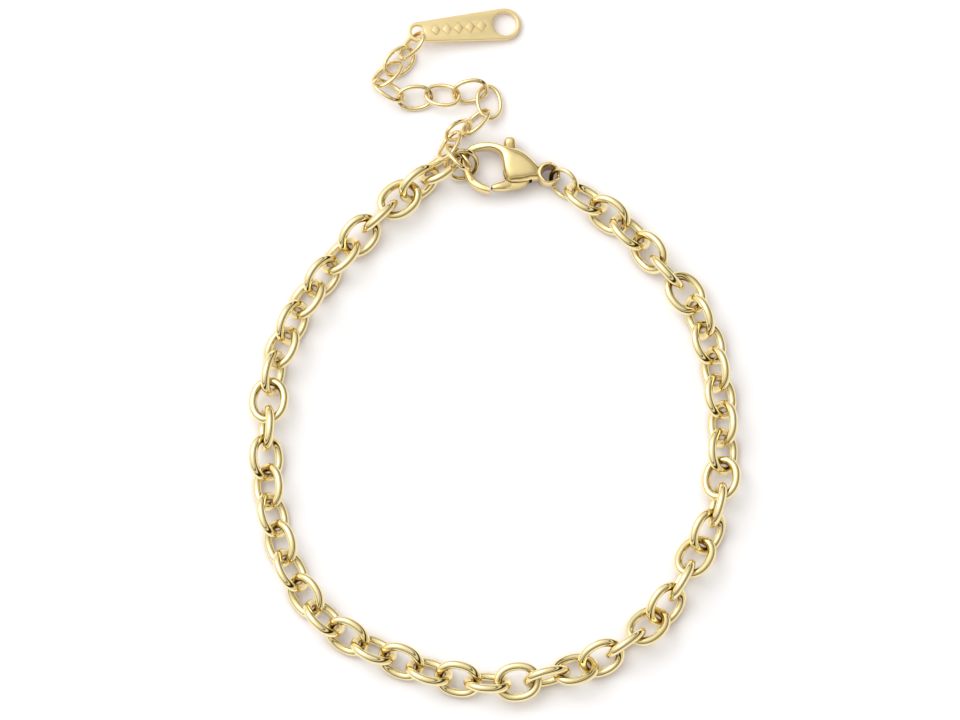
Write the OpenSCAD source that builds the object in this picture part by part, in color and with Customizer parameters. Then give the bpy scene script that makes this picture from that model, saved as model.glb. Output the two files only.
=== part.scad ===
// Link bracelet, closed and lying on a table: cable chain, lobster clasp,
// two jump rings, an extender chain and a long tag with two holes.
// Millimetres, +Z up, the table is z = 0, the wrist goes through along Z.

/* [Main chain] */
// Outer length of a chain link
link_length = 5.35; // [5.3:0.05:5.5]
// Outer width of a chain link
link_width = 4.4; // [4.2:0.05:4.6]
// Round wire of the chain links
link_wire = 0.88; // [0.76:0.02:0.9]
// Size of the loop, which the points of its middle line are shares of
loop_size = 50; // [47:0.5:56]

/* [Jump rings] */
// Outer size of both jump rings
ring_size = 4.03; // [4:0.01:4.06]
// Round wire of both jump rings
ring_wire = 0.54; // [0.48:0.01:0.56]

/* [Clasp] */
// Thickness of the clasp body at its crown
clasp_thickness = 2.9; // [2.7:0.05:3.1]
// Thickness of the lever inside its slot
lever_thickness = 1; // [0.8:0.05:1.1]
// Room above and below the lever in its slot
lever_room = 0.15; // [0.12:0.01:0.2]
// Diameter of the hidden pin the lever turns on
pin_size = 0.8; // [0.6:0.05:0.9]
// Hole through the clasp's eye
eye_hole = 1.9; // [1.88:0.01:1.95]

/* [Extender] */
// Outer length of an extender link
extender_link_length = 4.3; // [4.2:0.05:4.5]
// Round wire of the extender links
extender_wire = 0.48; // [0.4:0.02:0.5]

/* [Tag] */
// Distance between the tag's two holes
tag_hole_distance = 10; // [8:0.5:14]
// Width of the tag at its free end
tag_wide = 3.7; // [3.4:0.1:4.5]
// Thickness of the tag
tag_thickness = 0.6; // [0.5:0.05:0.65]
// Hole at the tag's free end
tag_big_hole = 2.8; // [2.2:0.1:3]
// Height of the raised lozenges on the tag
tag_relief = 0.1; // [0.05:0.05:0.2]
// Length of the raised lozenges across the tag
tag_lozenge_tall = 1.5; // [1.1:0.1:1.6]

/* [Hidden] */
steps = 20;
overlap = 0.02;

// Clasp's length and the middle of its eye, and the rings that hang in the eye and on the hook:
// middle, and [height of the middle, direction, dip, lean].
clasp_length = 10.5;
clasp_place = [6.15, 20.5];
clasp_ring_place = clasp_place + [1.7, -1.05];
clasp_ring_lie = [1.7, -42, 0, 57];
end_ring_share = [-0.938, 0.11];
end_ring_place = clasp_place + end_ring_share * clasp_length;
end_ring_lie = [1.6, 6, -9, 42];
// Where the chain starts and ends, from the middles of the rings.
chain_start = [1.15, -0.95];
chain_end = [-1.3, 0.35];

// Middle line of the main chain seen from above, from the clasp's ring round to the end ring,
// in shares of the loop's size from the loop's top.
loop_top = [0, 22];
loop_points = [
    [0.18, -0.07], [0.29, -0.15], [0.37, -0.24], [0.45, -0.34], [0.49, -0.46], [0.51, -0.58],
    [0.51, -0.71], [0.49, -0.83], [0.43, -0.95], [0.36, -1.06], [0.26, -1.14], [0.14, -1.19],
    [0.01, -1.21], [-0.12, -1.19], [-0.25, -1.14], [-0.36, -1.08], [-0.44, -0.98], [-0.49, -0.85],
    [-0.51, -0.72], [-0.51, -0.59], [-0.49, -0.47], [-0.44, -0.35], [-0.37, -0.25], [-0.28, -0.15],
    [-0.19, -0.07], [-0.1, 0]];
// Points at either end of the middle line that follow the rings.
loop_end_points = 6;
// Slow twist of the chain along its way: [share of the links, degrees].
chain_twist = [
    [0, 0], [0.07, 0], [0.12, -75], [0.23, -90], [0.41, -355], [0.44, -385], [0.48, -436],
    [0.52, -450], [0.72, -450], [0.8, -530], [0.9, -540], [1, -645]];
// How the chain is pulled out: [share of the links, share of the way].
chain_pull = [[0, 0], [0.25, 0.247], [0.44, 0.436], [0.76, 0.768], [0.93, 0.936], [1, 1]];
// Neighbouring links lean this far to either side.
link_lean = 45;
// Slack between the wires of two neighbouring links.
link_slack = 0.39;
link_bend = (link_width - link_wire) / 2;

// The loop hangs from its top, and its ends are drawn to the two rings.
loop_last = len(loop_points) - 1;
function loop_drawn(i) = loop_top + loop_points[i] * loop_size;
function loop_pull(i) = max(0, 1 - i / loop_end_points);
loop_start_pull = clasp_ring_place + chain_start - loop_drawn(0);
loop_end_pull = end_ring_place + chain_end - loop_drawn(loop_last);
loop_way = [
    for (i = [0:loop_last])
        loop_drawn(i) + loop_start_pull * loop_pull(i) + loop_end_pull * loop_pull(loop_last - i)];
function way_point(i) =
    i < 0 ? 2 * loop_way[0] - loop_way[1]
    : i >= len(loop_way) ? 2 * loop_way[len(loop_way) - 1] - loop_way[len(loop_way) - 2]
    : loop_way[i];
function bend_point(a, b, c, d, t) =
    0.5 * (2 * b + (c - a) * t + (2 * a - 5 * b + 4 * c - d) * t * t
    + (3 * b - a - 3 * c + d) * t * t * t);
loop_curve = concat(
    [for (i = [0:len(loop_way) - 2], j = [0:steps - 1])
        bend_point(way_point(i - 1), way_point(i), way_point(i + 1), way_point(i + 2), j / steps)],
    [loop_way[len(loop_way) - 1]]);
loop_lengths = [
    for (i = 0, s = 0;
        i < len(loop_curve);
        s = s + (i + 1 < len(loop_curve) ? norm(loop_curve[i + 1] - loop_curve[i]) : 0), i = i + 1)
        s];
loop_total = loop_lengths[len(loop_lengths) - 1];
loop_x = [for (i = [0:len(loop_curve) - 1]) [loop_lengths[i], loop_curve[i][0]]];
loop_y = [for (i = [0:len(loop_curve) - 1]) [loop_lengths[i], loop_curve[i][1]]];
// The links come in pairs, so the last one lies in the end ring as the one shown does.
link_half = round(loop_total / (link_length - 2 * link_wire - link_slack) / 2);
link_count = 2 * link_half;
function link_roll(k) = lookup((k - 0.5) / link_count, chain_twist) + (k % 2 == 1 ? -1 : 1) * link_lean;
function link_rest(k) = link_bend * abs(sin(link_roll(k))) + link_wire / 2;
function link_way(k) = loop_total * lookup(k / link_count, chain_pull);
function link_joint(k) = [
    lookup(link_way(k), loop_x),
    lookup(link_way(k), loop_y),
    max(link_rest(max(1, k)), link_rest(min(link_count, k + 1)))];

// Clasp, measured from the middle of its eye in shares of its length.
clasp_middle = clasp_thickness / 2;
// Sections from the hook's tip round the claw to the eye:
// [outer x, outer y, inner x, inner y, thickness as a share of the crown's].
clasp_sections = [
    [-0.638, -0.219, -0.643, -0.138, 0.60],
    [-0.741, -0.190, -0.729, -0.100, 0.58],
    [-0.849, -0.119, -0.795, -0.043, 0.50],
    [-0.912, 0.000, -0.843, 0.043, 0.37],
    [-0.948, 0.124, -0.867, 0.133, 0.31],
    [-0.919, 0.243, -0.848, 0.205, 0.3],
    [-0.833, 0.324, -0.795, 0.257, 0.36],
    [-0.719, 0.352, -0.714, 0.276, 0.55],
    [-0.600, 0.348, -0.624, 0.276, 0.69],
    [-0.505, 0.324, -0.548, 0.238, 0.80],
    [-0.443, 0.306, -0.510, 0.162, 0.90],
    [-0.376, 0.294, -0.486, 0.000, 0.98],
    [-0.312, 0.276, -0.433, -0.095, 1.00],
    [-0.252, 0.240, -0.333, -0.105, 1.00],
    [-0.200, 0.193, -0.248, -0.092, 0.96],
    [-0.157, 0.142, -0.186, -0.072, 0.88],
    [-0.124, 0.104, -0.138, -0.064, 0.77],
    [-0.100, 0.080, -0.100, -0.060, 0.64]];
section_parts = 3;
section_sides = 20;
section_square = 0.6;
section_crown = 0.75;
eye_wall = 0.4;
eye_thickness = 1;

// Lever: outline and slot from the pivot, in shares of the clasp's length.
pivot_place = [-0.281, -0.019];
lever_outline = [
    [-0.343, -0.130], [-0.338, -0.105], [-0.311, -0.090], [-0.213, -0.057], [-0.115, -0.010],
    [-0.085, 0.065], [-0.120, 0.190], [-0.186, 0.310], [-0.198, 0.330], [-0.198, 0.385],
    [-0.180, 0.412], [-0.150, 0.424], [-0.115, 0.424], [-0.088, 0.412], [-0.075, 0.385],
    [-0.066, 0.295], [-0.024, 0.180], [0.038, 0.085], [0.080, 0.030], [0.085, -0.010],
    [0.070, -0.050], [0.022, -0.110], [-0.086, -0.143], [-0.193, -0.160], [-0.311, -0.157],
    [-0.334, -0.147]];
lever_thick_end = -0.235;
lever_thick_nub = 0.36;
lever_end_share = 0.6;
slot_outline = [
    [-0.300, -0.190], [0.100, -0.190], [0.100, 0.500], [-0.230, 0.500], [-0.218, 0.290],
    [-0.138, 0.150], [-0.130, 0.075], [-0.300, 0.075]];
lever_play = 0.05;
pin_play = 0.02;
pin_skin = 0.3;

// Extender links, from the middle of the end ring: [x, y, height of the middle, direction, dip, lean].
extender_link_width = extender_link_length * 0.72;
extender_lie = [
    [-0.37, 0.35, 3.36, -56, 15, -54],
    [-1.36, 2.06, 2.26, 64, -9, -51],
    [-0.35, 3.95, 2, 26, -41, 64],
    [1.6, 5.1, 1.3, 47, -3, -50],
    [3.09, 7.61, 0.84, -83, 3, -10],
    [0.95, 8.83, 1.22, 11, 4, 44],
    [-2.16, 8.35, 1.09, -9, 4, -16],
    [-5.29, 8.1, 1.01, 5, 1, 34],
    [-8.25, 8.8, 1.5, -33, -3, -45],
    [-8.45, 10.84, 1.09, 43, 2, -37],
    [-7.1, 12.45, 0.85, 43, -2, 24],
    [-5.66, 14.05, 1.67, 32, 35, -41]];
extender_count = len(extender_lie);

// Tag: the free end rests on the table, the chain's end rides on its link.
tag_place = end_ring_place + [4.81, 16.94];
tag_direction = 187.6;
tag_slope = 7;
tag_small_hole = 1.45;
tag_narrow = 2.3;
// Raised lozenges in a row between the holes, their size along it as a share of their spacing,
// and how much each is smaller than the one before.
tag_lozenges = 5;
tag_lozenge = 0.92;
tag_lozenge_less = 0.03;

function extender_name(i) = str("extender_link_", i < 9 ? "0" : "", i + 1);

// A link of round wire with two straight sides, lying flat, its length along X.
module wire_link(long, wide, wire) {
    bend = (wide - wire) / 2;
    run = long - wide;
    for (side = [0, 180]) {
        rotate([0, 0, side]) {
            translate([run / 2, 0, 0])
                rotate([0, 0, -90])
                    rotate_extrude(angle = 180, $fn = 48)
                        translate([bend, 0])
                            circle(d = wire, $fn = 24);
            translate([-run / 2, bend, 0])
                rotate([0, 90, 0])
                    cylinder(h = run, d = wire, $fn = 24);
        }
    }
}

// A closed round ring of wire, lying flat.
module wire_ring(size, wire) {
    rotate_extrude($fn = 48)
        translate([(size - wire) / 2, 0])
            circle(d = wire, $fn = 24);
}

module chain_link(k) {
    a = link_joint(k - 1);
    b = link_joint(k);
    way = b - a;
    translate((a + b) / 2)
        rotate([link_roll(k), -atan2(way[2], norm([way[0], way[1]])), atan2(way[1], way[0])])
            wire_link(link_length, link_width, link_wire);
}

module chain_right() {
    color([0.88, 0.76, 0.42])
        for (k = [1:link_half])
            chain_link(k);
}

module chain_left() {
    color([0.88, 0.76, 0.42])
        for (k = [link_half + 1:link_count])
            chain_link(k);
}

module ring_at(place, lie) {
    translate([place[0], place[1], lie[0]])
        rotate([lie[3], -lie[2], lie[1]])
            wire_ring(ring_size, ring_wire);
}

module clasp_jump_ring() {
    color([0.9, 0.79, 0.46])
        ring_at(clasp_ring_place, clasp_ring_lie);
}

module end_jump_ring() {
    color([0.9, 0.79, 0.46])
        ring_at(end_ring_place, end_ring_lie);
}

function section_row(i) =
    i < 0 ? 2 * clasp_sections[0] - clasp_sections[1]
    : i >= len(clasp_sections) ? 2 * clasp_sections[len(clasp_sections) - 1] - clasp_sections[len(clasp_sections) - 2]
    : clasp_sections[i];
clasp_rows = concat(
    [for (i = [0:len(clasp_sections) - 2], j = [0:section_parts - 1])
        bend_point(section_row(i - 1), section_row(i), section_row(i + 1), section_row(i + 2), j / section_parts)],
    [clasp_sections[len(clasp_sections) - 1]]);
function power(v, p) = sign(v) * pow(abs(v), p);
function section_point(row, turn) =
    let (outer = [row[0], row[1]] * clasp_length, inner = [row[2], row[3]] * clasp_length)
    let (p = (outer + inner) / 2 + (outer - inner) / 2 * power(cos(turn), section_square))
    [p[0], p[1], clasp_thickness * row[4] / 2 * power(sin(turn), section_crown)];
clasp_points = [for (row = clasp_rows, j = [0:section_sides - 1]) section_point(row, 360 * j / section_sides)];
clasp_faces = concat(
    [[for (j = [0:section_sides - 1]) j]],
    [for (i = [0:len(clasp_rows) - 2], j = [0:section_sides - 1])
        let (k = (j + 1) % section_sides, a = i * section_sides, b = a + section_sides)
        [a + j, b + j, b + k, a + k]],
    [[for (j = [section_sides - 1:-1:0]) (len(clasp_rows) - 1) * section_sides + j]]);

module in_clasp() {
    translate([clasp_place[0], clasp_place[1], clasp_middle])
        children();
}

module at_pivot() {
    translate([pivot_place[0] * clasp_length, pivot_place[1] * clasp_length, 0])
        children();
}

module clasp_eye() {
    straight = eye_thickness - eye_wall;
    rotate_extrude($fn = 48)
        translate([(eye_hole + eye_wall) / 2, 0]) {
            square([eye_wall, straight], center = true);
            translate([0, straight / 2])
                circle(d = eye_wall, $fn = 16);
            translate([0, -straight / 2])
                circle(d = eye_wall, $fn = 16);
        }
}

module clasp_body() {
    slot_height = lever_thickness + 2 * lever_room;
    pin_top = clasp_middle - pin_skin;
    color([0.9, 0.82, 0.55])
        in_clasp()
            difference() {
                union() {
                    polyhedron(points = clasp_points, faces = clasp_faces);
                    clasp_eye();
                }
                at_pivot() {
                    translate([0, 0, -slot_height / 2])
                        linear_extrude(height = slot_height)
                            polygon(slot_outline * clasp_length);
                    translate([0, 0, -clasp_middle - 1])
                        cylinder(h = clasp_middle + 1 + pin_top + pin_play, d = pin_size + 2 * pin_play, $fn = 40);
                }
            }
}

module clasp_pin() {
    pin_top = clasp_middle - pin_skin;
    color([0.85, 0.75, 0.45])
        in_clasp()
            at_pivot()
                translate([0, 0, -clasp_middle + pin_skin])
                    cylinder(h = 2 * pin_top, d = pin_size, $fn = 40);
}

module clasp_lever() {
    thick = clasp_thickness * lever_end_share;
    outline = lever_outline * clasp_length;
    color([0.9, 0.8, 0.5])
        in_clasp()
            at_pivot()
                difference() {
                    union() {
                        translate([0, 0, -lever_thickness / 2])
                            linear_extrude(height = lever_thickness)
                                polygon(outline);
                        intersection() {
                            translate([0, 0, -thick / 2])
                                linear_extrude(height = thick)
                                    polygon(outline);
                            union() {
                                translate([-clasp_length, -clasp_length / 2, -thick])
                                    cube([clasp_length * (1 + lever_thick_end), clasp_length, 2 * thick]);
                                translate([-clasp_length / 2, lever_thick_nub * clasp_length, -thick])
                                    cube([clasp_length, clasp_length, 2 * thick]);
                            }
                        }
                    }
                    translate([0, 0, -clasp_thickness])
                        cylinder(h = 2 * clasp_thickness, d = pin_size + 2 * lever_play, $fn = 40);
                }
}

module extender_link(i) {
    lie = extender_lie[i];
    color([0.91, 0.76, 0.42])
        translate([end_ring_place[0] + lie[0], end_ring_place[1] + lie[1], lie[2]])
            rotate([lie[5], -lie[4], lie[3]])
                wire_link(extender_link_length, extender_link_width, extender_wire);
}

function arc(middle, radius, from, to) =
    [for (j = [0:24]) let (a = from + (to - from) * j / 24) [middle + radius * cos(a), radius * sin(a)]];

module tag() {
    spread = asin((tag_wide - tag_narrow) / 2 / tag_hole_distance);
    lift = tag_wide / 2 * sin(tag_slope);
    field = tag_hole_distance - tag_big_hole / 2 - tag_small_hole / 2;
    pace = field / (tag_lozenges + 1);
    color([0.91, 0.78, 0.46])
        translate([tag_place[0], tag_place[1], lift])
            rotate([0, -tag_slope, tag_direction])
                difference() {
                    union() {
                        linear_extrude(height = tag_thickness)
                            polygon(concat(
                                arc(0, tag_wide / 2, 90 - spread, 270 + spread),
                                arc(tag_hole_distance, tag_narrow / 2, -90 + spread, 90 - spread)));
                        for (j = [1:tag_lozenges]) {
                            share = 1 - tag_lozenge_less * j;
                            translate([tag_big_hole / 2 + pace * j, 0, tag_thickness - overlap])
                                scale([pace * tag_lozenge * share, tag_lozenge_tall * share, 1])
                                    cylinder(h = tag_relief + overlap, d = 1, $fn = 4);
                        }
                    }
                    translate([0, 0, -1])
                        cylinder(h = tag_thickness + 2, d = tag_big_hole, $fn = 48);
                    translate([tag_hole_distance, 0, -1])
                        cylinder(h = tag_thickness + 2, d = tag_small_hole, $fn = 48);
                }
}

chain_right();
chain_left();
clasp_body();
clasp_lever();
clasp_pin();
clasp_jump_ring();
end_jump_ring();
for (i = [0:extender_count - 1]) extender_link(i);
tag();
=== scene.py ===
"""Link bracelet lying closed on a pale table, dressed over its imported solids.

The cable chain, the lobster clasp, the two jump rings, the extender chain and the
tag each get finely drawn meshes in the places of their solids, and polished or satin
gold finishes made of shader nodes.
"""
import logging
import math
from dataclasses import dataclass, field
from enum import Enum

import bmesh
import bpy
import numpy as np
from mathutils import Matrix, Vector


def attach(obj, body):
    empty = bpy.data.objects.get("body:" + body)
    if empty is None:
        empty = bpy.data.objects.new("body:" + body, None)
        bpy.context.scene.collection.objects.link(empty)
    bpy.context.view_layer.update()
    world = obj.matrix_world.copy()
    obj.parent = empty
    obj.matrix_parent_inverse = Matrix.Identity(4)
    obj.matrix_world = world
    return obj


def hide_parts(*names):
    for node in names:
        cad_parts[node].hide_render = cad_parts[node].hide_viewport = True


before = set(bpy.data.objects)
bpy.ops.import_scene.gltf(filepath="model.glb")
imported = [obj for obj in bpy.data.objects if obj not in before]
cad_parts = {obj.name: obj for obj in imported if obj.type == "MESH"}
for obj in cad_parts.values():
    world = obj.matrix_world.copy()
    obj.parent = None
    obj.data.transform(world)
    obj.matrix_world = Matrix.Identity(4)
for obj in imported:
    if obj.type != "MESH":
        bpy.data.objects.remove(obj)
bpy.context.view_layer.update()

LOG = logging.getLogger("link_bracelet")

# One millimetre, in metres
MM = 0.001
# Corners this close, in metres, are one point of a solid
SAME_SPOT = 1e-7
# Points this close, in millimetres, are welded in a plate
SAME_CORNER = 1e-4
# Thickness shares between which a loft's crown goes from its thin to its full form
THIN_SHARE, FULL_SHARE = 0.55, 0.9
# Sockets of a colour mix: its share, its two colours and the mixed colour
MIX_SHARE, MIX_FIRST, MIX_SECOND, MIX_RESULT = 0, 6, 7, 2

Point = tuple[float, float]
Tone = tuple[float, float, float]
Face = tuple[int, ...]
# Outer x, outer y, inner x, inner y and thickness of a lofted form, all as shares
Section = tuple[float, float, float, float, float]


class MetalSlot(Enum):
    """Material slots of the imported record."""

    CHAIN = "chain_metal"
    CLASP = "clasp_metal"
    EXTENDER = "extender_metal"
    TAG = "tag_metal"


class Body(Enum):
    """Bodies that pieces ride on."""

    BRACELET = "bracelet"
    LEVER = "lever"


class SolidStep(Enum):
    """What a tool form does to a base form."""

    JOIN = "UNION"
    CUT = "DIFFERENCE"


# Shader node groups


def new_group(name: str, inputs: dict[str, tuple[str, object]],
              outputs: dict[str, str]) -> bpy.types.NodeTree:
    """Makes an empty shader node group with named sockets.

    Args:
        name: Name of the group.
        inputs: Socket names with their kind, "Float" or "Color", and default.
        outputs: Socket names with their kind.

    Returns:
        The node tree, with an input and an output node in it.
    """
    tree = bpy.data.node_groups.new(name, "ShaderNodeTree")
    for label, (kind, default) in inputs.items():
        socket = tree.interface.new_socket(name=label, in_out="INPUT", socket_type="NodeSocket" + kind)
        socket.default_value = default
    for label, kind in outputs.items():
        tree.interface.new_socket(name=label, in_out="OUTPUT", socket_type="NodeSocket" + kind)
    tree.nodes.new("NodeGroupInput").name = "in"
    tree.nodes.new("NodeGroupOutput").name = "out"
    return tree


def add_node(tree: bpy.types.NodeTree, kind: str, settings: dict[str, object] | None = None,
             values: dict[str | int, object] | None = None) -> bpy.types.Node:
    """Adds a node.

    Args:
        tree: Tree that gets the node.
        kind: Node type without "ShaderNode".
        settings: Attributes set on the node.
        values: Default values of its inputs.

    Returns:
        The new node.
    """
    node = tree.nodes.new("ShaderNode" + kind)
    for label, value in (settings or {}).items():
        setattr(node, label, value)
    for label, value in (values or {}).items():
        node.inputs[label].default_value = value
    return node


def place_group(tree: bpy.types.NodeTree, group: str, values: dict[str, object]) -> bpy.types.Node:
    """Places a shared group in a material.

    Args:
        tree: The material's node tree.
        group: Name of the group.
        values: Values of its inputs.

    Returns:
        The group's node.
    """
    node = tree.nodes.new("ShaderNodeGroup")
    node.node_tree = bpy.data.node_groups[group]
    for label, value in values.items():
        node.inputs[label].default_value = value
    return node


def mix_tones(tree: bpy.types.NodeTree, share: bpy.types.NodeSocket, first: bpy.types.NodeSocket | Tone,
              second: bpy.types.NodeSocket | Tone) -> bpy.types.NodeSocket:
    """Mixes two colours by a share.

    Args:
        tree: Tree that gets the mix.
        share: Socket with the share of the second colour.
        first: Socket or fixed tone of the first colour.
        second: Socket or fixed tone of the second colour.

    Returns:
        The socket with the mixed colour.
    """
    mix = add_node(tree, "Mix", {"data_type": "RGBA"})
    tree.links.new(share, mix.inputs[MIX_SHARE])
    for spot, colour in ((MIX_FIRST, first), (MIX_SECOND, second)):
        if isinstance(colour, tuple):
            mix.inputs[spot].default_value = (*colour, 1)
        else:
            tree.links.new(colour, mix.inputs[spot])
    return mix.outputs[MIX_RESULT]


def plating_cloud_group() -> bpy.types.NodeTree:
    """Builds the slow drift of a plated metal's tone.

    Returns:
        A group that mixes two tones of the plating in soft clouds.
    """
    tree = new_group("PlatingCloud",
                     {"Tone": ("Color", (0.9, 0.7, 0.3, 1)), "Warm Tone": ("Color", (0.9, 0.6, 0.2, 1)),
                      "Amount": ("Float", 0.5), "Scale": ("Float", 300.0)},
                     {"Color": "Color"})
    start, end = tree.nodes["in"], tree.nodes["out"]
    place = add_node(tree, "TexCoord")
    noise = add_node(tree, "TexNoise", values={"Detail": 2.0, "Roughness": 0.5})
    spread = add_node(tree, "MapRange", {"interpolation_type": "SMOOTHSTEP"},
                      {"From Min": 0.35, "From Max": 0.65})
    share = add_node(tree, "Math", {"operation": "MULTIPLY"})
    link = tree.links.new
    link(place.outputs["Object"], noise.inputs["Vector"])
    link(start.outputs["Scale"], noise.inputs["Scale"])
    link(noise.outputs["Fac"], spread.inputs["Value"])
    link(spread.outputs["Result"], share.inputs[0])
    link(start.outputs["Amount"], share.inputs[1])
    mixed = mix_tones(tree, share.outputs[0], start.outputs["Tone"], start.outputs["Warm Tone"])
    link(mixed, end.inputs["Color"])
    return tree


def polish_marks_group() -> bpy.types.NodeTree:
    """Builds the faint swirl lines and waves that polishing leaves.

    Returns:
        A group that gives a height for bump and a roughness that varies.
    """
    tree = new_group("PolishMarks",
                     {"Roughness": ("Float", 0.1), "Spread": ("Float", 0.05), "Wave Scale": ("Float", 900.0),
                      "Line Scale": ("Float", 6000.0), "Line Share": ("Float", 0.2)},
                     {"Roughness": "Float", "Height": "Float"})
    start, end = tree.nodes["in"], tree.nodes["out"]
    place = add_node(tree, "TexCoord")
    stretch = add_node(tree, "Mapping", values={"Rotation": (0.3, 0.5, 0.7), "Scale": (1.0, 0.12, 1.0)})
    wave = add_node(tree, "TexNoise", values={"Detail": 1.0, "Roughness": 0.4})
    line = add_node(tree, "TexNoise", values={"Detail": 3.0, "Roughness": 0.6})
    share = add_node(tree, "Math", {"operation": "MULTIPLY"})
    height = add_node(tree, "Math", {"operation": "ADD"})
    centre = add_node(tree, "Math", {"operation": "SUBTRACT"}, {1: 0.5})
    swing = add_node(tree, "Math", {"operation": "MULTIPLY"})
    rough = add_node(tree, "Math", {"operation": "ADD", "use_clamp": True})
    link = tree.links.new
    link(place.outputs["Object"], wave.inputs["Vector"])
    link(place.outputs["Object"], stretch.inputs["Vector"])
    link(stretch.outputs["Vector"], line.inputs["Vector"])
    link(start.outputs["Wave Scale"], wave.inputs["Scale"])
    link(start.outputs["Line Scale"], line.inputs["Scale"])
    link(line.outputs["Fac"], share.inputs[0])
    link(start.outputs["Line Share"], share.inputs[1])
    link(wave.outputs["Fac"], height.inputs[0])
    link(share.outputs[0], height.inputs[1])
    link(height.outputs[0], end.inputs["Height"])
    link(line.outputs["Fac"], centre.inputs[0])
    link(centre.outputs[0], swing.inputs[0])
    link(start.outputs["Spread"], swing.inputs[1])
    link(swing.outputs[0], rough.inputs[0])
    link(start.outputs["Roughness"], rough.inputs[1])
    link(rough.outputs[0], end.inputs["Roughness"])
    return tree


def painted_shade_mask_group() -> bpy.types.NodeTree:
    """Builds the occlusion mask for painted shade in nooks: gold darkens there and the table takes a painted
    warm shade.

    Returns:
        A group whose mask is 1 deep in a hollow and 0 on open faces.
    """
    tree = new_group("PaintedShadeMask", {"Reach": ("Float", 0.0006), "Strength": ("Float", 0.5)}, {"Mask": "Float"})
    start, end = tree.nodes["in"], tree.nodes["out"]
    shade = add_node(tree, "AmbientOcclusion", {"samples": 8, "only_local": False})
    turn = add_node(tree, "Math", {"operation": "SUBTRACT"}, {0: 1.0})
    share = add_node(tree, "Math", {"operation": "MULTIPLY", "use_clamp": True})
    link = tree.links.new
    link(start.outputs["Reach"], shade.inputs["Distance"])
    link(shade.outputs["AO"], turn.inputs[1])
    link(turn.outputs[0], share.inputs[0])
    link(start.outputs["Strength"], share.inputs[1])
    link(share.outputs[0], end.inputs["Mask"])
    return tree


@dataclass(frozen=True)
class GoldFinish:
    """A gold-plated finish: tones, gloss, the marks of its making and painted shade in its nooks.

    Reaches and depths are in metres, and scales count per metre.
    """

    name: str
    tone: Tone
    warm: Tone
    # Colour of the painted shade that darkens the gold in nooks and creases
    painted_nook_shade: Tone
    roughness: float
    spread: float
    cloud: float = 0.5
    cloud_scale: float = 260.0
    wave_scale: float = 900.0
    line_scale: float = 6000.0
    line_share: float = 0.2
    bump: float = 0.02
    bump_depth: float = 0.00001
    # Reach and strength of the occlusion that lays this painted shade
    painted_nook_reach: float = 0.0007
    painted_nook_strength: float = 0.35
    lacquer: float = 0.25
    lacquer_roughness: float = 0.06

    def build(self) -> bpy.types.Material:
        """Makes the material out of the shared groups.

        Returns:
            The finished material.
        """
        made = bpy.data.materials.new(self.name)
        made.use_nodes = True
        tree = made.node_tree
        shader = tree.nodes["Principled BSDF"]
        shader.inputs["Metallic"].default_value = 1.0
        shader.inputs["Coat Weight"].default_value = self.lacquer
        shader.inputs["Coat Roughness"].default_value = self.lacquer_roughness
        cloud = place_group(tree, "PlatingCloud", {
            "Tone": (*self.tone, 1), "Warm Tone": (*self.warm, 1),
            "Amount": self.cloud, "Scale": self.cloud_scale})
        marks = place_group(tree, "PolishMarks", {
            "Roughness": self.roughness, "Spread": self.spread, "Wave Scale": self.wave_scale,
            "Line Scale": self.line_scale, "Line Share": self.line_share})
        painted_nook_shade = place_group(tree, "PaintedShadeMask", {"Reach": self.painted_nook_reach, "Strength": self.painted_nook_strength})
        bump = add_node(tree, "Bump", values={"Strength": self.bump, "Distance": self.bump_depth})
        # Painted shade: the base colour turns to the dark tone wherever the occlusion mask finds nooks
        colour = mix_tones(tree, painted_nook_shade.outputs["Mask"], cloud.outputs["Color"], self.painted_nook_shade)
        link = tree.links.new
        link(colour, shader.inputs["Base Color"])
        link(marks.outputs["Roughness"], shader.inputs["Roughness"])
        link(marks.outputs["Height"], bump.inputs["Height"])
        link(bump.outputs["Normal"], shader.inputs["Normal"])
        return made


@dataclass(frozen=True)
class TableFinish:
    """Matt white table with a faint glow and a painted warm shade where gold lies close above it, within a
    reach in metres.
    """

    name: str = "white_table"
    tone: Tone = (0.98, 0.978, 1.0)
    # Colour of the painted shadow that the table takes close under the gold
    shade: Tone = (0.5, 0.37, 0.25)
    shade_reach: float = 0.002
    shade_strength: float = 0.6
    roughness: float = 0.9
    gloss: float = 0.1
    glow: float = 0.2

    def build(self) -> bpy.types.Material:
        """Makes the table's material.

        Returns:
            The finished material.
        """
        made = bpy.data.materials.new(self.name)
        made.use_nodes = True
        tree = made.node_tree
        shader = tree.nodes["Principled BSDF"]
        shader.inputs["Roughness"].default_value = self.roughness
        shader.inputs["Specular IOR Level"].default_value = self.gloss
        shader.inputs["Emission Strength"].default_value = self.glow
        near = place_group(tree, "PaintedShadeMask", {"Reach": self.shade_reach, "Strength": self.shade_strength})
        # Painted shadow: the table's colour, and the glow that follows it, turn to the warm shade near the
        # gold
        colour = mix_tones(tree, near.outputs["Mask"], self.tone, self.shade)
        tree.links.new(colour, shader.inputs["Base Color"])
        tree.links.new(colour, shader.inputs["Emission Color"])
        return made


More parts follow.
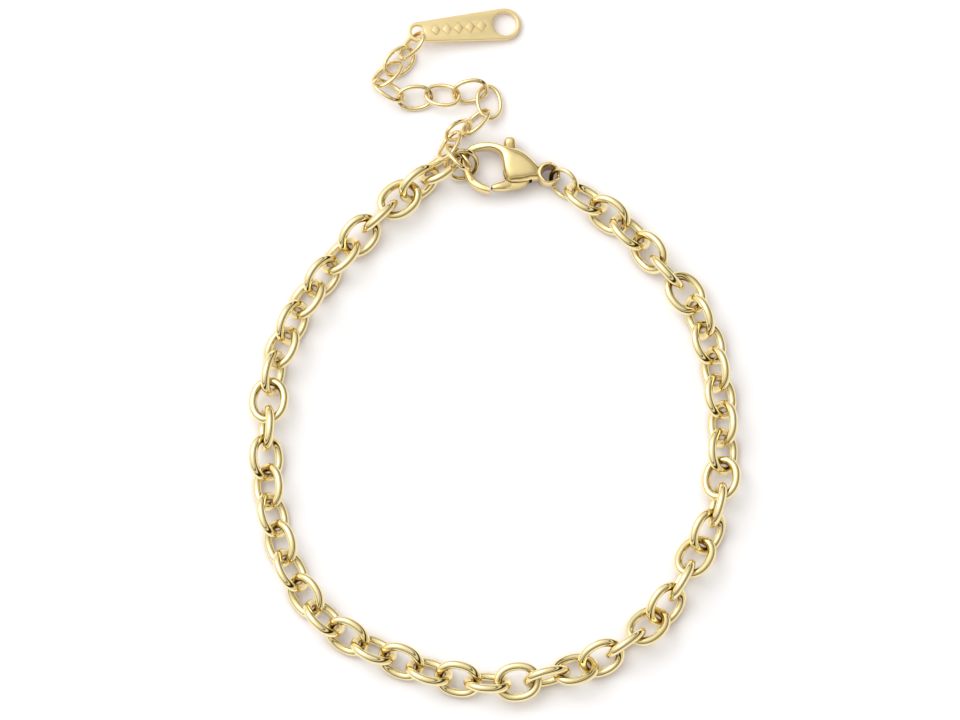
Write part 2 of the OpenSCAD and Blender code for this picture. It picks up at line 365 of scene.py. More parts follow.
CHAIN_GOLD = GoldFinish(
    name="chain_gold", tone=(0.94, 0.805, 0.44), warm=(0.925, 0.77, 0.38), painted_nook_shade=(0.3, 0.17, 0.025),
    roughness=0.07, spread=0.04, painted_nook_reach=0.001, painted_nook_strength=0.95)
CLASP_GOLD = GoldFinish(
    name="clasp_gold", tone=(0.92, 0.74, 0.36), warm=(0.9, 0.71, 0.32), painted_nook_shade=(0.26, 0.14, 0.03),
    roughness=0.25, spread=0.04, painted_nook_reach=0.0024, painted_nook_strength=1.0)
EXTENDER_GOLD = GoldFinish(
    name="extender_gold", tone=(0.94, 0.78, 0.42), warm=(0.92, 0.75, 0.37), painted_nook_shade=(0.4, 0.23, 0.05),
    roughness=0.08, spread=0.04, painted_nook_strength=0.65)
TAG_GOLD = GoldFinish(
    name="tag_gold", tone=(0.98, 0.8, 0.42), warm=(0.96, 0.76, 0.37), painted_nook_shade=(0.55, 0.31, 0.08),
    roughness=0.3, spread=0.06, cloud=0.8, cloud_scale=700.0, line_share=0.06, bump=0.012,
    painted_nook_reach=0.0004, painted_nook_strength=1.0, lacquer=0.0)


# Mesh helpers


def clamp(share: float) -> float:
    """Keeps a share between 0 and 1."""
    return min(max(share, 0.0), 1.0)


def ring_faces(rings: int, sides: int, closed: bool = True, first: int = 0) -> list[Face]:
    """Joins rings of points into a skin of four-sided faces.

    Args:
        rings: Number of rings.
        sides: Points in a ring.
        closed: Whether the last ring joins the first.
        first: Number of the first point.

    Returns:
        Corner numbers of each face.
    """
    faces = []
    for i in range(rings if closed else rings - 1):
        here, there = first + i * sides, first + (i + 1) % rings * sides
        for j in range(sides):
            side = (j + 1) % sides
            faces.append((here + j, there + j, there + side, here + side))
    return faces


def new_piece(name: str, points: np.ndarray, faces: list[Face], smooth: bool = True) -> bpy.types.Object:
    """Makes an object out of points and faces.

    Args:
        name: Name of the object.
        points: Corner points in metres.
        faces: Corner numbers of each face.
        smooth: Whether the faces are shaded smooth.

    Returns:
        The new object, linked to the scene.
    """
    mesh = bpy.data.meshes.new(name)
    mesh.from_pydata([tuple(p) for p in points], [], faces)
    mesh.validate()
    if smooth:
        mesh.shade_smooth()
    made = bpy.data.objects.new(name, mesh)
    bpy.context.scene.collection.objects.link(made)
    return made


def loose_solids(node: bpy.types.Object) -> list[np.ndarray]:
    """Splits a CAD node's mesh into its loose solids.

    Args:
        node: The CAD node's object.

    Returns:
        The corner points of each solid's triangles.
    """
    mesh = node.data
    mesh.calc_loop_triangles()
    points = np.empty(len(mesh.vertices) * 3)
    mesh.vertices.foreach_get("co", points)
    points = points.reshape(-1, 3)
    corners = np.empty(len(mesh.loop_triangles) * 3, int)
    mesh.loop_triangles.foreach_get("vertices", corners)
    keys, same = np.unique(np.round(points / SAME_SPOT).astype(np.int64), axis=0, return_inverse=True)
    corners = same.reshape(-1)[corners].reshape(-1, 3)
    root = np.arange(len(keys))
    # Corners that share a triangle take the lowest number among them until none changes
    while True:
        low = root[corners].min(axis=1)
        before = root.copy()
        np.minimum.at(root, corners.reshape(-1), np.repeat(low, 3))
        root = root[root]
        if np.array_equal(before, root):
            break
    at = np.zeros((len(keys), 3))
    at[same.reshape(-1)] = points
    owner = root[corners[:, 0]]
    return [at[corners[owner == key]] for key in np.unique(owner)]


def solid_frames(node: bpy.types.Object) -> list[Matrix]:
    """Finds how each loose solid of a CAD node lies.

    Args:
        node: The CAD node's object.

    Returns:
        A frame for each solid: its middle, its longest way as X and its shortest as Z.
    """
    frames = []
    # The spread of a solid's skin shows its long, wide and flat ways
    for solid in loose_solids(node):
        area = np.linalg.norm(np.cross(solid[:, 1] - solid[:, 0], solid[:, 2] - solid[:, 0]), axis=1)
        mids = solid.mean(axis=1)
        middle = (mids * area[:, None]).sum(0) / area.sum()
        arms = mids - middle
        ways = np.linalg.eigh((arms * area[:, None]).T @ arms / area.sum())[1]
        long, wide = ways[:, 2], ways[:, 1]
        if long[0] < 0:
            long = -long
        if wide[1] < 0:
            wide = -wide
        turned = Matrix((long, wide, np.cross(long, wide))).transposed().to_4x4()
        turned.translation = Vector(middle)
        frames.append(turned)
    return frames


def curve_point(a: np.ndarray, b: np.ndarray, c: np.ndarray, d: np.ndarray, t: float) -> np.ndarray:
    """Gives a point of the smooth curve between b and c.

    Args:
        a: Row before b.
        b: Row at the start.
        c: Row at the end.
        d: Row after c.
        t: Share of the way from b to c.

    Returns:
        The row there.
    """
    return 0.5 * (2 * b + (c - a) * t + (2 * a - 5 * b + 4 * c - d) * t * t
                  + (3 * b - a - 3 * c + d) * t ** 3)


def smooth_loop(points: list[Point], parts: int) -> np.ndarray:
    """Rounds a closed outline through its points.

    Args:
        points: The outline's points in order.
        parts: Points between two given ones.

    Returns:
        The finer outline.
    """
    rows = np.array(points, float)
    count = len(rows)
    fine = []
    for i in range(count):
        near = rows[[i - 1, i, (i + 1) % count, (i + 2) % count]]
        fine += [curve_point(*near, j / parts) for j in range(parts)]
    return np.array(fine)


def circle(radius: float, steps: int = 48) -> np.ndarray:
    """Draws a circle about the origin.

    Args:
        radius: Its radius in millimetres.
        steps: Number of points.

    Returns:
        The points in order.
    """
    turns = np.arange(steps) * math.tau / steps
    return radius * np.c_[np.cos(turns), np.sin(turns)]


def plate(name: str, outline: np.ndarray, holes: list[np.ndarray], low: float, high: float, edge: float,
          rounds: int = 3) -> bpy.types.Object:
    """Makes a plate with rounded edges and holes.

    Args:
        name: Name of the object.
        outline: Outer line in millimetres.
        holes: Lines of the holes in millimetres.
        low: Height of the under face in millimetres.
        high: Height of the top face in millimetres.
        edge: Radius of the rounded edges in millimetres.
        rounds: Steps of the rounding.

    Returns:
        The plate as a mesh object, in metres.
    """
    curve = bpy.data.curves.new(name, "CURVE")
    curve.dimensions = "2D"
    curve.fill_mode = "BOTH"
    for line in [outline, *holes]:
        spline = curve.splines.new("POLY")
        spline.points.add(len(line) - 1)
        spline.points.foreach_set("co", np.c_[line, np.zeros(len(line)), np.ones(len(line))].ravel())
        spline.use_cyclic_u = True
    curve.extrude = (high - low) / 2 - edge
    curve.bevel_depth = edge
    curve.bevel_resolution = rounds
    curve.offset = -edge
    drawn = bpy.data.objects.new(name + "_line", curve)
    bpy.context.scene.collection.objects.link(drawn)
    bpy.context.view_layer.update()
    mesh = bpy.data.meshes.new_from_object(drawn.evaluated_get(bpy.context.evaluated_depsgraph_get()))
    bpy.data.objects.remove(drawn)
    work = bmesh.new()
    work.from_mesh(mesh)
    bmesh.ops.remove_doubles(work, verts=work.verts, dist=SAME_CORNER)
    bmesh.ops.translate(work, verts=work.verts, vec=(0, 0, (high + low) / 2))
    bmesh.ops.scale(work, verts=work.verts, vec=(MM, MM, MM))
    bmesh.ops.recalc_face_normals(work, faces=work.faces)
    work.to_mesh(mesh)
    work.free()
    mesh.name = name
    made = bpy.data.objects.new(name, mesh)
    bpy.context.scene.collection.objects.link(made)
    return made


def combine(base: bpy.types.Object, tool: bpy.types.Object, step: SolidStep) -> None:
    """Joins a tool to a base or cuts it out, and drops the tool.

    Args:
        base: Object that changes.
        tool: Object that is joined or cut out.
        step: What the tool does.
    """
    modifier = base.modifiers.new(step.name, "BOOLEAN")
    modifier.operation = step.value
    modifier.solver = "EXACT"
    modifier.object = tool
    bpy.context.view_layer.update()
    mesh = bpy.data.meshes.new_from_object(base.evaluated_get(bpy.context.evaluated_depsgraph_get()))
    base.modifiers.clear()
    old = base.data
    mesh.name = old.name + "_made"
    base.data = mesh
    bpy.data.meshes.remove(old)
    bpy.data.objects.remove(tool)


def soften(piece: bpy.types.Object, sharp_deg: float) -> None:
    """Shades a piece smooth but for its sharp edges.

    Args:
        piece: The object.
        sharp_deg: Edges that bend more than this stay sharp.
    """
    piece.data.shade_smooth()
    piece.data.set_sharp_from_angle(angle=math.radians(sharp_deg))


def turned_body(name: str, profile: list[Point], turns: int = 96) -> bpy.types.Object:
    """Turns a closed profile round the Z axis.

    Args:
        name: Name of the object.
        profile: Points [distance from the axis, height] in millimetres.
        turns: Steps round the axis.

    Returns:
        The ring or disc, in metres.
    """
    points = []
    for i in range(turns):
        turn = math.tau * i / turns
        points += [(r * math.cos(turn) * MM, r * math.sin(turn) * MM, z * MM) for r, z in profile]
    return new_piece(name, np.array(points), ring_faces(turns, len(profile)))


def loft(name: str, rows: np.ndarray, length: float, thickness: float, parts: int = 8, sides: int = 64,
         square: float = 0.6, crown: tuple[float, float] = (0.75, 0.75)) -> bpy.types.Object:
    """Lofts a cast form through sections that stand on the plane of Z = 0.

    Args:
        name: Name of the object.
        rows: Sections [outer x, outer y, inner x, inner y, thickness], all as shares.
        length: Size in millimetres that the shares of place count in.
        thickness: Size in millimetres that the shares of thickness count in.
        parts: Sections between two given ones.
        sides: Points round a section.
        square: Power of the section across, lower is squarer.
        crown: Powers of the section upwards, for a thin and for a full section.

    Returns:
        The closed form.
    """
    rows = np.vstack([2 * rows[0] - rows[1], rows, 2 * rows[-1] - rows[-2]])
    fine = [curve_point(*rows[i:i + 4], j / parts) for i in range(len(rows) - 3) for j in range(parts)]
    fine.append(rows[-2])
    turns = np.arange(sides) * math.tau / sides
    across = np.sign(np.cos(turns)) * np.abs(np.cos(turns)) ** square
    points = []
    for row in fine:
        outer, inner = row[:2] * length, row[2:4] * length
        full = clamp((row[4] - THIN_SHARE) / (FULL_SHARE - THIN_SHARE))
        power = crown[0] + (crown[1] - crown[0]) * full
        up = np.sign(np.sin(turns)) * np.abs(np.sin(turns)) ** power
        flat = (outer + inner) / 2 + np.outer(across, (outer - inner) / 2)
        points.append(np.c_[flat, thickness * row[4] / 2 * up])
    last = (len(fine) - 1) * sides
    faces = ring_faces(len(fine), sides, closed=False)
    faces += [tuple(range(sides)), tuple(last + j for j in reversed(range(sides)))]
    piece = new_piece(name, np.concatenate(points) * MM, faces)
    work = bmesh.new()
    work.from_mesh(piece.data)
    bmesh.ops.recalc_face_normals(work, faces=work.faces)
    work.to_mesh(piece.data)
    work.free()
    return piece


def finish_piece(piece: bpy.types.Object, body: Body, metal: bpy.types.Material,
                 node: str) -> bpy.types.Object:
    """Gives a piece its metal and body, and hides the CAD node that it stands for.

    Args:
        piece: The piece.
        body: Body that it rides on.
        metal: Its material.
        node: CAD node that it stands for.

    Returns:
        The same piece.
    """
    piece.data.materials.clear()
    piece.data.materials.append(metal)
    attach(piece, body.value)
    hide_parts(node)
    return piece


# Pieces of the bracelet


@dataclass
class WireLink:
    """A closed oval link of round wire, soldered shut in the middle of one side.

    Sizes are in millimetres. The solder bead and its seam are shares of the wire, and
    they fade with the distance from the weld, counted in reaches.
    """

    length: float
    width: float
    wire: float
    oval: float = 1.0
    line_steps: int = 84
    round_steps: int = 20
    weld: float = 0.0
    weld_reach: float = 0.35
    bead_fall: float = 4.0
    seam_depth: float = 1.6
    seam_fall: float = 60.0
    no_weld: float = 9.0

    def middle_line(self) -> tuple[np.ndarray, np.ndarray]:
        """Draws the wire's middle line.

        Returns:
            Points [x, y] and outward directions, in millimetres.
        """
        turns = np.arange(self.line_steps) * math.tau / self.line_steps
        round_way = np.c_[np.cos(turns), np.sin(turns)]
        half = np.array([self.length - self.wire, self.width - self.wire]) / 2
        points = half * np.sign(round_way) * np.abs(round_way) ** self.oval
        along = np.roll(points, -1, 0) - np.roll(points, 1, 0)
        outward = np.c_[along[:, 1], -along[:, 0]]
        return points, outward / np.linalg.norm(outward, axis=1)[:, None]

    def radius(self, line: np.ndarray) -> np.ndarray:
        """Gives the wire's radius along its middle line, with the solder bead and its seam.

        Args:
            line: Points of the middle line.

        Returns:
            The radius at each point, in millimetres.
        """
        near = np.where(line[:, 1] < 0, np.abs(line[:, 0]) / self.weld_reach, self.no_weld)
        bead, seam = np.exp(-self.bead_fall * near ** 2), np.exp(-self.seam_fall * near ** 2)
        return self.wire / 2 * (1 + self.weld * (bead - self.seam_depth * seam))

    def mesh_at(self, frames: list[Matrix]) -> tuple[np.ndarray, list[Face]]:
        """Builds one link at each frame.

        Args:
            frames: Where the links lie.

        Returns:
            All points in metres and all faces.
        """
        line, outward = self.middle_line()
        count, sides = len(line), self.round_steps
        angles = np.arange(sides) * math.tau / sides
        radius = self.radius(line)[:, None]
        shape = np.empty((count, sides, 3))
        shape[:, :, :2] = line[:, None, :] + outward[:, None, :] * (radius * np.cos(angles))[:, :, None]
        shape[:, :, 2] = radius * np.sin(angles)
        shape = shape.reshape(-1, 3) * MM
        points, faces = [], []
        for number, lie in enumerate(frames):
            points.append(shape @ np.array(lie.to_3x3()).T + np.array(lie.translation))
            faces += ring_faces(count, sides, first=number * count * sides)
        return np.concatenate(points), faces

    def dress(self, node: str, ending: str, slot: MetalSlot, metal: bpy.types.Material) -> bpy.types.Object:
        """Draws a link over each solid of a CAD node.

        Args:
            node: Name of the CAD node.
            ending: What the piece's name has after the node's.
            slot: Material slot of the record; not used.
            metal: The links' material.

        Returns:
            The piece, in the node's place.
        """
        points, faces = self.mesh_at(solid_frames(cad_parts[node]))
        piece = new_piece(node + ending, points, faces)
        return finish_piece(piece, Body.BRACELET, metal, node)


@dataclass
class MainChain:
    """The cable chain of the loop, in two lengths that meet opposite the clasp."""

    link: WireLink = field(default_factory=lambda: WireLink(length=5.455, width=4.505, wire=0.985, oval=0.93,
                                                            weld=0.006))
    nodes: tuple[str, str] = ("chain_right", "chain_left")

    def build(self, metal: bpy.types.Material) -> list[bpy.types.Object]:
        """Makes both lengths of the chain.

        Args:
            metal: The chain's material.

        Returns:
            The two pieces.
        """
        return [self.link.dress(node, "_links", MetalSlot.CHAIN, metal) for node in self.nodes]


@dataclass
class JumpRings:
    """The two round rings: one in the clasp's eye and one that the clasp hooks."""

    ring: WireLink = field(default_factory=lambda: WireLink(length=4.03, width=4.03, wire=0.54,
                                                            line_steps=96))
    nodes: tuple[str, str] = ("clasp_jump_ring", "end_jump_ring")

    def build(self, metal: bpy.types.Material) -> list[bpy.types.Object]:
        """Makes both rings.

        Args:
            metal: The rings' material.

        Returns:
            The two pieces.
        """
        return [self.ring.dress(node, "_wire", MetalSlot.CLASP, metal) for node in self.nodes]


@dataclass
class Extender:
    """The loose chain of twelve thin links from the end ring to the tag."""

    count: int = 12
    link: WireLink = field(default_factory=lambda: WireLink(length=4.3, width=3.096, wire=0.49, oval=0.92,
                                                            line_steps=72, round_steps=18, weld=0.008,
                                                            weld_reach=0.25))

    def build(self, metal: bpy.types.Material) -> list[bpy.types.Object]:
        """Makes the links, each in its own node's place.

        Args:
            metal: The links' material.

        Returns:
            The pieces in order.
        """
        nodes = [f"extender_link_{number:02d}" for number in range(1, self.count + 1)]
        return [self.link.dress(node, "_wire", MetalSlot.EXTENDER, metal) for node in nodes]


@dataclass
class Clasp:
    """Lobster clasp: cast body with its eye, and the lever that turns in its slot.

    Sizes are in millimetres and angles in degrees. Outlines and sections are shares of
    the clasp's length, counted from the eye's middle for the body's sections and from
    the pivot for the slot, the lever, its gate and its nub.
    """

    length: float = 10.5
    thickness: float = 2.9
    place: Point = (6.15, 20.5)
    sections: tuple[Section, ...] = (
        (-0.638, -0.219, -0.643, -0.138, 0.60), (-0.741, -0.190, -0.729, -0.100, 0.58),
        (-0.849, -0.119, -0.795, -0.043, 0.50), (-0.912, 0.000, -0.843, 0.043, 0.37),
        (-0.948, 0.124, -0.867, 0.133, 0.31), (-0.919, 0.243, -0.848, 0.205, 0.30),
        (-0.833, 0.324, -0.795, 0.257, 0.36), (-0.719, 0.352, -0.714, 0.276, 0.55),
        (-0.600, 0.348, -0.624, 0.276, 0.69), (-0.505, 0.324, -0.548, 0.238, 0.82),
        (-0.443, 0.306, -0.510, 0.162, 0.94), (-0.376, 0.294, -0.486, 0.000, 1.00),
        (-0.312, 0.276, -0.433, -0.095, 0.985), (-0.252, 0.240, -0.333, -0.105, 0.945),
        (-0.200, 0.193, -0.248, -0.092, 0.89), (-0.157, 0.142, -0.186, -0.072, 0.825),
        (-0.124, 0.104, -0.138, -0.064, 0.75), (-0.100, 0.080, -0.100, -0.060, 0.66))
    crown: tuple[float, float] = (0.5, 0.78)
    sharp: float = 34.0
    eye_hole: float = 1.9
    eye_wall: float = 0.4
    eye_thickness: float = 1.0
    eye_collar: float = 2.5
    eye_narrowing: float = 0.14
    ring_over: float = 15.0
    ring_under: float = -72.0
    ring_room: float = 32.0
    wall_steps: int = 12
    pivot: Point = (-0.281, -0.019)
    slot_height: float = 1.3
    slot_edge: float = 0.02
    slot: tuple[Point, ...] = (
        (-0.300, -0.190), (0.100, -0.190), (0.100, 0.500), (-0.230, 0.500), (-0.218, 0.290), (-0.138, 0.150),
        (-0.130, 0.075), (-0.300, 0.075))
    bore_edge: float = 0.01
    pin_size: float = 0.8
    pin_play: float = 0.02
    lever_play: float = 0.05
    pin_skin: float = 0.3
    lever: tuple[Point, ...] = (
        (-0.246, -0.112), (-0.236, -0.080), (-0.190, -0.048), (-0.115, -0.010), (-0.085, 0.065),
        (-0.120, 0.190), (-0.175, 0.290), (-0.186, 0.330), (-0.180, 0.380), (-0.135, 0.395), (-0.090, 0.380),
        (-0.080, 0.330), (-0.066, 0.290), (-0.024, 0.180), (0.038, 0.085), (0.080, 0.030), (0.085, -0.010),
        (0.070, -0.050), (0.022, -0.110), (-0.086, -0.143), (-0.193, -0.155), (-0.232, -0.146))
    lever_thickness: float = 1.0
    lever_parts: int = 5
    lever_edge: float = 0.08
    lever_crown: tuple[float, float] = (0.72, 0.72)
    lever_sharp: float = 40.0
    gate: tuple[Section, ...] = (
        (-0.343, -0.135, -0.343, -0.130, 0.08), (-0.338, -0.148, -0.338, -0.114, 0.26),
        (-0.323, -0.158, -0.326, -0.097, 0.37), (-0.295, -0.163, -0.294, -0.084, 0.43),
        (-0.262, -0.164, -0.255, -0.070, 0.452), (-0.235, -0.164, -0.225, -0.060, 0.45),
        (-0.210, -0.163, -0.197, -0.048, 0.435), (-0.185, -0.161, -0.170, -0.036, 0.415),
        (-0.160, -0.158, -0.140, -0.022, 0.39), (-0.130, -0.153, -0.110, -0.010, 0.36))
    nub: tuple[Section, ...] = (
        (-0.165, 0.270, -0.060, 0.270, 0.34), (-0.188, 0.305, -0.064, 0.305, 0.38),
        (-0.199, 0.335, -0.067, 0.335, 0.43), (-0.202, 0.362, -0.068, 0.362, 0.48),
        (-0.202, 0.385, -0.070, 0.385, 0.50), (-0.197, 0.405, -0.075, 0.405, 0.485),
        (-0.186, 0.423, -0.088, 0.423, 0.42), (-0.167, 0.434, -0.107, 0.434, 0.31),
        (-0.142, 0.438, -0.130, 0.438, 0.12))

    def in_place(self, piece: bpy.types.Object, from_pivot: bool = False) -> None:
        """Moves a piece from the eye's or the pivot's middle to its place.

        Args:
            piece: The piece, in metres about the eye or the pivot.
            from_pivot: Whether it was drawn from the pivot.
        """
        x, y = self.place
        if from_pivot:
            x, y = x + self.pivot[0] * self.length, y + self.pivot[1] * self.length
        piece.data.transform(Matrix.Translation((x * MM, y * MM, self.thickness / 2 * MM)))

    def claw(self) -> bpy.types.Object:
        """Lofts the body from the hook's tip to the eye.

        Returns:
            The closed claw, about the eye's middle.
        """
        return loft("clasp_body_cast", np.array(self.sections), self.length, self.thickness, crown=self.crown)

    def ring_share(self, turn: float, gap: float) -> float:
        """Tells how far a spot of the eye is from where the jump ring passes.

        Args:
            turn: Angle of the spot round the eye, in degrees.
            gap: Angle where the ring passes, in degrees.

        Returns:
            0 beside the ring, rising smoothly to 1 where the eye has its full form.
        """
        away = clamp(abs((turn - gap + 180) % 360 - 180) / self.ring_room - 1)
        return away * away * (3 - 2 * away)

    def eye(self) -> bpy.types.Object:
        """Turns the eye's ring.

        Returns:
            The ring, about its own middle.
        """
        half = (self.eye_thickness - self.eye_wall) / 2
        middle, radius = (self.eye_hole + self.eye_wall) / 2, self.eye_wall / 2
        profile = []
        for side in (1, -1):
            for i in range(self.wall_steps + 1):
                turn = math.pi * i / self.wall_steps
                profile.append((middle + side * radius * math.cos(turn),
                                side * (half + radius * math.sin(turn))))
        ring = turned_body("clasp_eye", profile)
        for vertex in ring.data.vertices:
            turn = math.degrees(math.atan2(vertex.co.y, vertex.co.x))
            over, under = (self.ring_share(turn, gap) for gap in (self.ring_over, self.ring_under))
            share = over if vertex.co.z > 0 else under
            vertex.co.z *= 1 + (self.eye_collar / self.eye_thickness - 1) * share
            flat = vertex.co.xy.length
            inward = clamp((middle * MM - flat) / (radius * MM) + 1) * min(over, under)
            vertex.co.xy *= 1 - self.eye_narrowing * MM * inward / flat
        return ring

    def body(self, metal: bpy.types.Material) -> bpy.types.Object:
        """Makes the body with its eye, lever slot and pin bore.

        Args:
            metal: The clasp's material.

        Returns:
            The piece.
        """
        piece = self.claw()
        combine(piece, self.eye(), SolidStep.JOIN)
        half, top = self.slot_height / 2, self.thickness / 2 - self.pin_skin + self.pin_play
        slot = plate("slot", np.array(self.slot) * self.length, [], -half, half, self.slot_edge)
        bore = plate("bore", circle(self.pin_size / 2 + self.pin_play), [], -self.thickness, top,
                     self.bore_edge)
        to_pivot = Matrix.Translation((self.pivot[0] * self.length * MM, self.pivot[1] * self.length * MM, 0))
        for tool in (slot, bore):
            tool.data.transform(to_pivot)
            combine(piece, tool, SolidStep.CUT)
        self.in_place(piece)
        soften(piece, self.sharp)
        return finish_piece(piece, Body.BRACELET, metal, "clasp_body")

    def lever_piece(self, metal: bpy.types.Material) -> bpy.types.Object:
        """Makes the lever with its thick gate end and thumb nub.

        Args:
            metal: The clasp's material.

        Returns:
            The piece.
        """
        outline = smooth_loop(list(self.lever), self.lever_parts) * self.length
        hole = circle(self.pin_size / 2 + self.lever_play)
        half = self.lever_thickness / 2
        piece = plate("clasp_lever_cast", outline, [hole], -half, half, self.lever_edge)
        for name, rows in (("gate", self.gate), ("nub", self.nub)):
            form = loft(name, np.array(rows), self.length, self.thickness, parts=6, sides=48, square=0.75,
                        crown=self.lever_crown)
            combine(piece, form, SolidStep.JOIN)
        self.in_place(piece, from_pivot=True)
        soften(piece, self.lever_sharp)
        return finish_piece(piece, Body.LEVER, metal, "clasp_lever")

    def build(self, metal: bpy.types.Material) -> list[bpy.types.Object]:
        """Makes the body and lever, and dresses the hidden pin.

        Args:
            metal: The clasp's material.

        Returns:
            The pieces.
        """
        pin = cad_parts["clasp_pin"]
        pin.data.materials.clear()
        pin.data.materials.append(metal)
        return [self.body(metal), self.lever_piece(metal), pin]


@dataclass
class Tag:
    """Long flat tag with a hole at either end and a row of raised lozenges.

    Sizes are in millimetres and angles in degrees. A lozenge is as long as a share of
    the space it has, and each is less than the one before by the same share.
    """

    place: Point = (1.111, 38.595)
    direction: float = 187.6
    slope: float = 7.0
    hole_distance: float = 10.0
    wide: float = 3.7
    narrow: float = 2.3
    thickness: float = 0.6
    big_hole: float = 2.8
    small_hole: float = 1.45
    relief: float = 0.1
    lozenges: int = 5
    lozenge_long: float = 0.92
    lozenge_tall: float = 1.5
    lozenge_less: float = 0.03
    lozenge_sink: float = 0.15
    lozenge_edge: float = 0.05
    edge: float = 0.1
    sharp: float = 30.0

    @staticmethod
    def arc(middle: float, radius: float, start: float, end: float, steps: int = 48) -> list[Point]:
        """Draws part of a circle about a point on the X axis.

        Args:
            middle: Distance of the circle's middle along X.
            radius: Radius of the circle.
            start: First angle in degrees.
            end: Last angle in degrees.
            steps: Number of steps.

        Returns:
            Points along the arc.
        """
        angles = [math.radians(start + (end - start) * i / steps) for i in range(steps + 1)]
        return [(middle + radius * math.cos(a), radius * math.sin(a)) for a in angles]

    def build(self, metal: bpy.types.Material) -> list[bpy.types.Object]:
        """Makes the tag.

        Args:
            metal: The tag's material.

        Returns:
            The piece.
        """
        spread = math.degrees(math.asin((self.wide - self.narrow) / 2 / self.hole_distance))
        outline = np.array(self.arc(0, self.wide / 2, 90 - spread, 270 + spread)
                           + self.arc(self.hole_distance, self.narrow / 2, spread - 90, 90 - spread))
        holes = [circle(self.big_hole / 2), circle(self.small_hole / 2) + [self.hole_distance, 0]]
        piece = plate("tag_plate", outline, holes, 0, self.thickness, self.edge, rounds=4)
        pace = (self.hole_distance - self.big_hole / 2 - self.small_hole / 2) / (self.lozenges + 1)
        for j in range(1, self.lozenges + 1):
            half = np.array([pace * self.lozenge_long, self.lozenge_tall]) * (1 - self.lozenge_less * j) / 2
            corners = np.array([(1, 0), (0, 1), (-1, 0), (0, -1)]) * half + [self.big_hole / 2 + pace * j, 0]
            mark = plate("lozenge", corners, [], self.thickness - self.lozenge_sink,
                         self.thickness + self.relief, self.lozenge_edge, rounds=2)
            combine(piece, mark, SolidStep.JOIN)
        lift = self.wide / 2 * math.sin(math.radians(self.slope))
        turned = (Matrix.Translation((self.place[0] * MM, self.place[1] * MM, lift * MM))
                  @ Matrix.Rotation(math.radians(self.direction), 4, "Z")
                  @ Matrix.Rotation(math.radians(-self.slope), 4, "Y"))
        piece.data.transform(turned)
        soften(piece, self.sharp)
        return [finish_piece(piece, Body.BRACELET, metal, "tag")]


# Table, light and camera


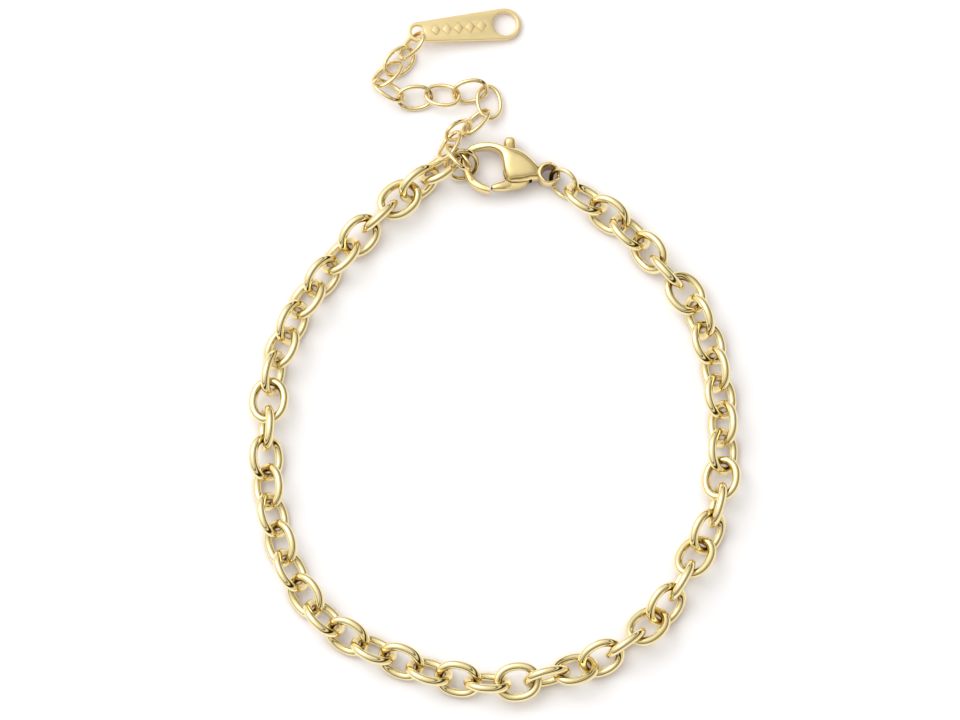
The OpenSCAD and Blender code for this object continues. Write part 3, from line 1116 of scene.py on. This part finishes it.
@dataclass
class Studio:
    """White table, soft light and the camera above the bracelet, in metres, degrees and watts.

    The target is the point of the table in the middle of the picture.
    """

    pixel: float = 0.1125 * MM
    image_width: int = 960
    target: tuple[float, float, float] = (-1.63 * MM, -0.757 * MM, 0.0)
    elevation: float = 75.0
    distance: float = 0.9
    sensor_width: float = 36.0
    sight: tuple[float, float] = (0.01, 20.0)
    table_size: float = 6.0
    key_place: tuple[float, float, float] = (-0.33, 0.22, 0.55)
    key_size: tuple[float, float] = (0.4, 0.45)
    key_power: float = 1.0
    bright_way: tuple[float, float, float] = (-0.53, 0.3, 0.79)
    room_tones: tuple[tuple[float, Tone], ...] = (
        (0.0, (0.64, 0.57, 0.46)), (0.43, (0.8, 0.75, 0.67)), (0.475, (0.04, 0.025, 0.0)),
        (0.6, (0.04, 0.025, 0.0)), (0.64, (0.8, 0.78, 0.74)), (0.705, (0.82, 0.8, 0.77)),
        (0.728, (0.17, 0.13, 0.06)), (0.76, (0.17, 0.13, 0.06)), (0.785, (0.79, 0.79, 0.78)),
        (0.89, (0.95, 0.95, 0.96)), (0.94, (1.2, 1.2, 1.22)), (1.0, (1.55, 1.55, 1.6)))

    def camera(self) -> None:
        """Places the camera at the picture's angle and scale."""
        data = bpy.data.cameras.new("camera")
        data.sensor_width = self.sensor_width
        data.lens = self.sensor_width * self.distance / (self.image_width * self.pixel)
        data.clip_start, data.clip_end = self.sight
        camera = bpy.data.objects.new("camera", data)
        tilt = math.radians(self.elevation)
        arm = Vector((0, -math.cos(tilt), math.sin(tilt))) * self.distance
        camera.location = Vector(self.target) + arm
        camera.rotation_euler = (math.radians(90) - tilt, 0, 0)
        bpy.context.scene.collection.objects.link(camera)
        bpy.context.scene.camera = camera

    def table(self) -> None:
        """Lays the white table under the bracelet."""
        half = self.table_size / 2
        points = np.array([(-half, -half, 0), (half, -half, 0), (half, half, 0), (-half, half, 0)])
        piece = new_piece("table", points, [(0, 1, 2, 3)], smooth=False)
        piece.data.materials.append(TableFinish().build())

    def soft_key(self) -> None:
        """Hangs the wide soft light that faces the bracelet."""
        data = bpy.data.lights.new("soft_key", "AREA")
        data.shape = "RECTANGLE"
        data.size, data.size_y = self.key_size
        data.energy = self.key_power
        lamp = bpy.data.objects.new("soft_key", data)
        lamp.location = self.key_place
        lamp.rotation_euler = (-Vector(self.key_place)).to_track_quat("-Z", "Y").to_euler()
        bpy.context.scene.collection.objects.link(lamp)

    def room(self) -> None:
        """Makes the room's light: bands of tone from the dim side to the bright one."""
        world = bpy.data.worlds.new("room")
        bpy.context.scene.world = world
        world.use_nodes = True
        tree = world.node_tree
        tree.nodes.clear()
        place = add_node(tree, "TexCoord")
        side = add_node(tree, "VectorMath", {"operation": "DOT_PRODUCT"}, {1: self.bright_way})
        spread = add_node(tree, "MapRange", values={"From Min": -1.0, "From Max": 1.0})
        ramp = add_node(tree, "ValToRGB")
        marks = ramp.color_ramp.elements
        ready = len(marks)
        for i, (spot, tone) in enumerate(self.room_tones):
            mark = marks[i] if i < ready else marks.new(spot)
            mark.position = spot
            mark.color = (*tone, 1)
        shade = add_node(tree, "Background")
        out = add_node(tree, "OutputWorld")
        link = tree.links.new
        link(place.outputs["Generated"], side.inputs[0])
        link(side.outputs["Value"], spread.inputs["Value"])
        link(spread.outputs["Result"], ramp.inputs["Fac"])
        link(ramp.outputs["Color"], shade.inputs["Color"])
        link(shade.outputs["Background"], out.inputs["Surface"])

    def build(self) -> None:
        """Sets up the camera, table, room and light."""
        self.camera()
        self.table()
        self.room()
        self.soft_key()
        bpy.context.scene.view_settings.view_transform = "Standard"


def main() -> None:
    """Builds the finishes, the studio and every piece in order."""
    logging.basicConfig(level=logging.INFO, format="%(name)s: %(message)s")
    plating_cloud_group()
    polish_marks_group()
    painted_shade_mask_group()
    Studio().build()
    metals = {finish.name: finish.build() for finish in (CHAIN_GOLD, CLASP_GOLD, EXTENDER_GOLD, TAG_GOLD)}
    jobs = ((MainChain(), CHAIN_GOLD), (JumpRings(), CHAIN_GOLD), (Extender(), EXTENDER_GOLD),
            (Clasp(), CLASP_GOLD), (Tag(), TAG_GOLD))
    for maker, finish in jobs:
        for piece in maker.build(metals[finish.name]):
            LOG.info("%s: %d faces", piece.name, len(piece.data.polygons))


if __name__ == "__main__":
    main()
